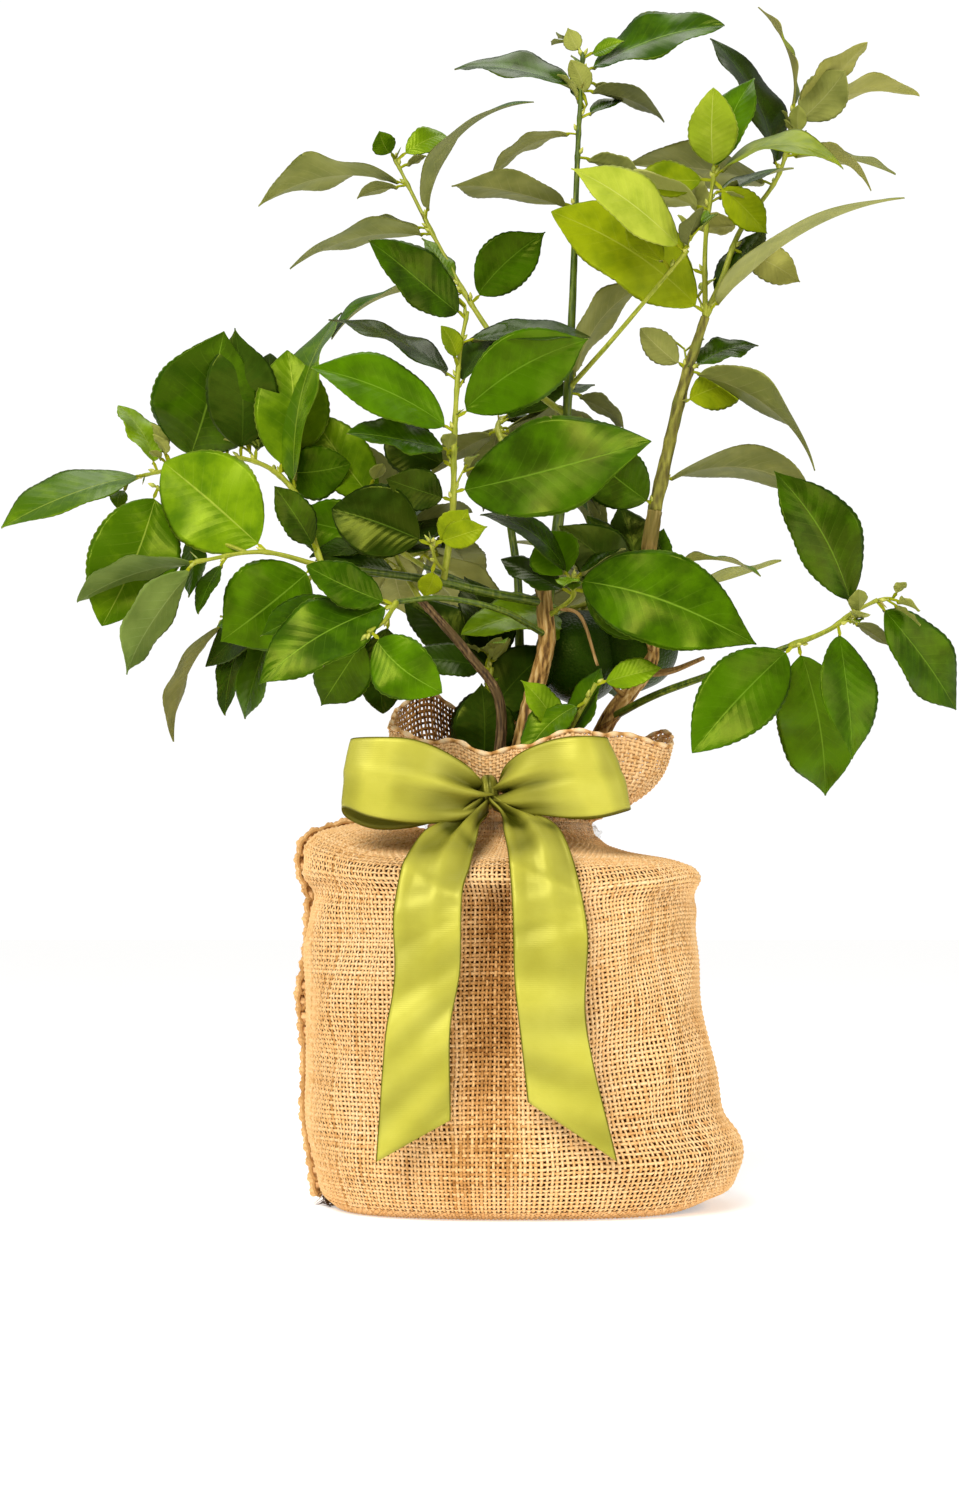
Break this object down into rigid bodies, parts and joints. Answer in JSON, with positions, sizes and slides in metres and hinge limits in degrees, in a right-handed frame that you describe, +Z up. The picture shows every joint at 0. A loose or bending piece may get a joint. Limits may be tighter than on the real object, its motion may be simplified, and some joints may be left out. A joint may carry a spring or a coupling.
{
  "type": "potted persian lime tree",
  "caption": "Young lime tree with slender stems, glossy leaves and green fruit, growing in a round pot wrapped in a burlap sack that is tied at the neck with a satin bow.",
  "frame": {"origin": "centre of the flat underside of the sack-wrapped pot, at the level that it stands on", "axes": "+Z up along the trunk, +X to the right and +Y away from the viewer who faces the bow"},
  "size_m": [0.5137, 0.2976, 0.6728],
  "materials": {
    "burlap": "coarse open plain weave jute, warm tan",
    "hem": "rolled jute hem with chain stitches",
    "soil": "dark crumbly potting compost",
    "strap": "clear glossy plastic band",
    "satin_ribbon": "olive-lime satin with wired edges",
    "bark": "ridged tan bark",
    "green_bark": "smooth green bark with pale streaks",
    "dead_wood": "dry thorny twig",
    "mature_leaf": "glossy deep green citrus leaves",
    "young_leaf": "soft yellow-green young citrus leaves"
  },
  "bodies": {
    "root": {"burlap_sack": "burlap", "potting_soil": "soil", "sack_collar": "burlap", "neck_strap": "strap", "side_hem": "hem", "ribbon_knot": "satin_ribbon", "bow_loop_left": "satin_ribbon", "bow_loop_right": "satin_ribbon", "ribbon_tail_left": "satin_ribbon", "ribbon_tail_right": "satin_ribbon", "main_trunk": "bark", "left_stem": "bark", "right_stem": "bark", "back_stem": "green_bark", "leader_bough": "green_bark", "left_bough": "green_bark", "left_low_bough": "green_bark", "right_low_bough": "green_bark", "back_left_bough": "green_bark", "back_right_bough": "green_bark", "thorny_twig": "dead_wood", "leader_mass": "mature_leaf", "upper_left_mass": "mature_leaf", "centre_left_mass": "mature_leaf", "right_middle_mass": "mature_leaf", "young_mass": "young_leaf", "upper_right_mass": "young_leaf", "trunk_top_mass": "mature_leaf", "right_low_mass": "mature_leaf", "left_upper_mass": "mature_leaf", "left_tip_mass": "mature_leaf", "left_drop_mass": "mature_leaf", "left_hanging_mass": "mature_leaf", "left_stem_mass": "mature_leaf", "fruiting_mass": "mature_leaf", "collar_mass": "young_leaf", "inner_mass": "mature_leaf", "back_top_mass": "mature_leaf", "back_left_mass": "mature_leaf", "back_right_mass": "mature_leaf"}
  },
  "joints": []
}
